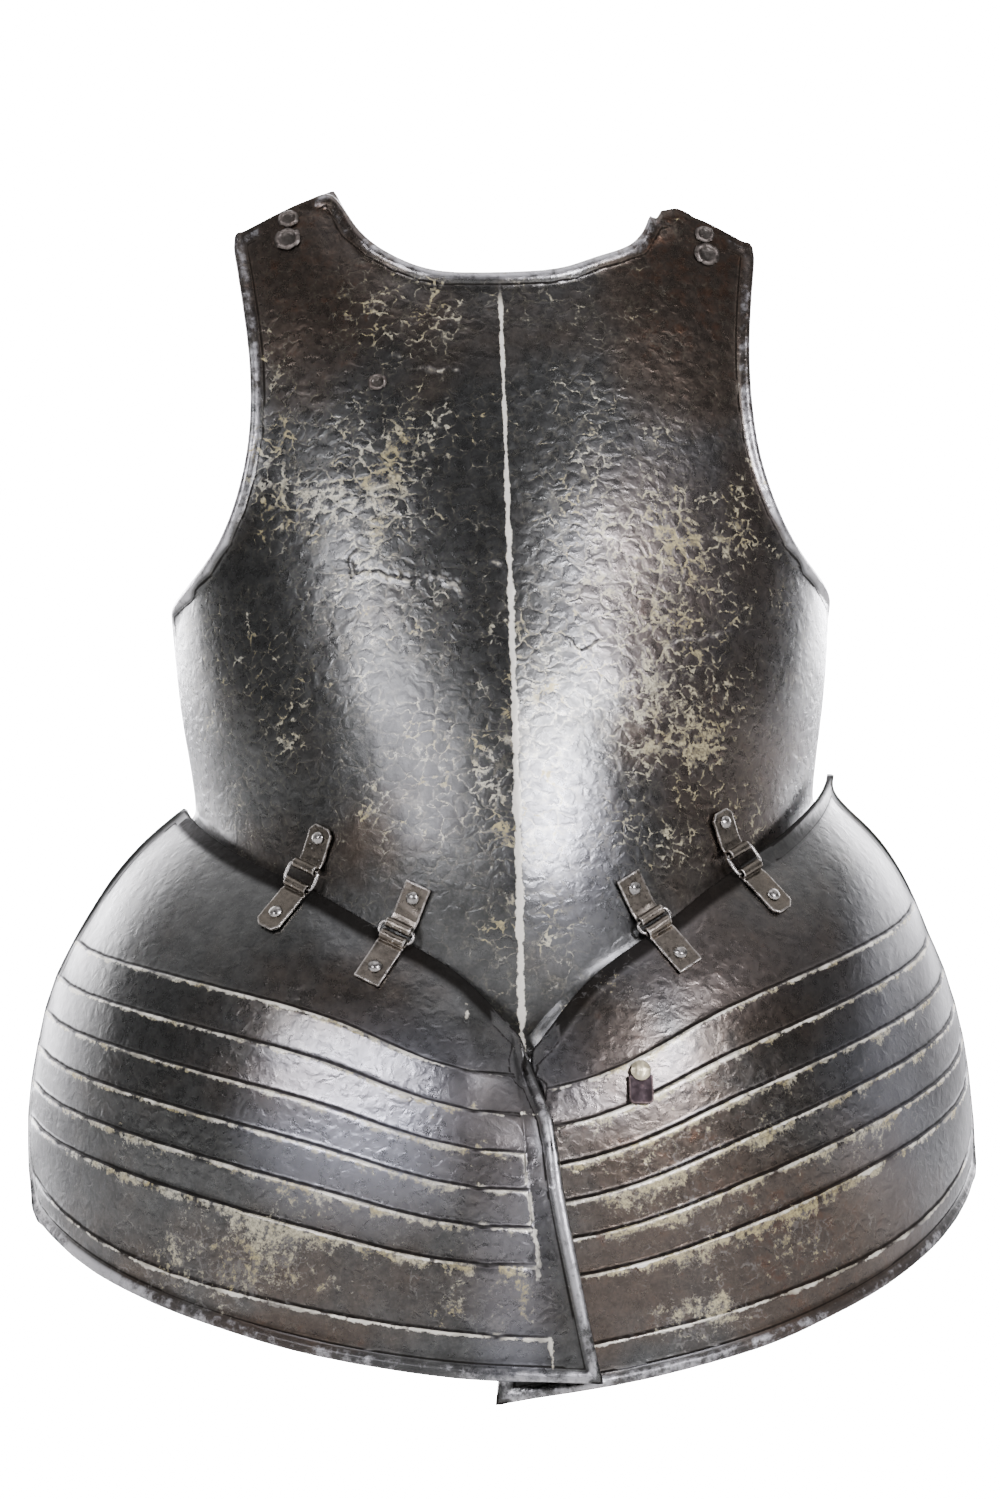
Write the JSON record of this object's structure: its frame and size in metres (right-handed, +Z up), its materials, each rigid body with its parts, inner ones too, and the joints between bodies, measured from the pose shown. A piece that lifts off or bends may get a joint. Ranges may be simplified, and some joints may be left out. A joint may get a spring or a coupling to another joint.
{
  "type": "cuirass breastplate with tassets",
  "caption": "Ridged steel breastplate with rolled neck and arm edges, a waist flange, and broad stepped tassets hung on strap-and-loop hinges.",
  "frame": {"origin": "midway between the two shoulder ends, level with them and at their depth", "axes": "+Z up, the front faces -Y, +X to the wearer's left"},
  "size_m": [0.5009, 0.2072, 0.6183],
  "materials": {
    "plate_steel": "blackened hammered steel, worn pale along the ridge, steps and rolled edges",
    "strap_iron": "dark brown oxidised iron with bright edges",
    "loop_iron": "worn grey iron wire",
    "rivet_iron": "worn iron, bright on top",
    "stud_brass": "dull pale brass"
  },
  "bodies": {
    "breastplate": {"breast": "plate_steel", "upper_strap_right_outer": "strap_iron", "upper_strap_right_inner": "strap_iron", "upper_strap_left_outer": "strap_iron", "upper_strap_left_inner": "strap_iron", "loop_right_outer": "loop_iron", "loop_right_inner": "loop_iron", "loop_left_outer": "loop_iron", "loop_left_inner": "loop_iron", "rivet_upper_right_outer": "rivet_iron", "rivet_upper_right_inner": "rivet_iron", "rivet_upper_left_outer": "rivet_iron", "rivet_upper_left_inner": "rivet_iron", "shoulder_rivet_right_upper": "rivet_iron", "shoulder_rivet_right_lower": "rivet_iron", "shoulder_rivet_left_upper": "rivet_iron", "shoulder_rivet_left_lower": "rivet_iron", "plug_rivet": "rivet_iron"},
    "right_tasset": {"tasset_right": "plate_steel", "lower_strap_right_outer": "strap_iron", "lower_strap_right_inner": "strap_iron", "rivet_lower_right_outer": "rivet_iron", "rivet_lower_right_inner": "rivet_iron"},
    "left_tasset": {"tasset_left": "plate_steel", "lower_strap_left_outer": "strap_iron", "lower_strap_left_inner": "strap_iron", "rivet_lower_left_outer": "rivet_iron", "rivet_lower_left_inner": "rivet_iron", "stud": "stud_brass", "stud_tab": "strap_iron"}
  },
  "joints": [
    {"name": "right_tasset_swing", "type": "hinge", "parent": "breastplate", "child": "right_tasset", "pos_m": [-0.08758, -0.10272, -0.35653], "axis": [-0.7659, 0.4826, 0.4248], "range_deg": [0, 35]},
    {"name": "left_tasset_swing", "type": "hinge", "parent": "breastplate", "child": "left_tasset", "pos_m": [0.09565, -0.09885, -0.35322], "axis": [-0.7626, -0.5025, -0.4074], "range_deg": [0, 31.5]}
  ],
  "couplings": [
    {"joint": "left_tasset_swing", "follows": "right_tasset_swing", "ratio": 0.9}
  ]
}
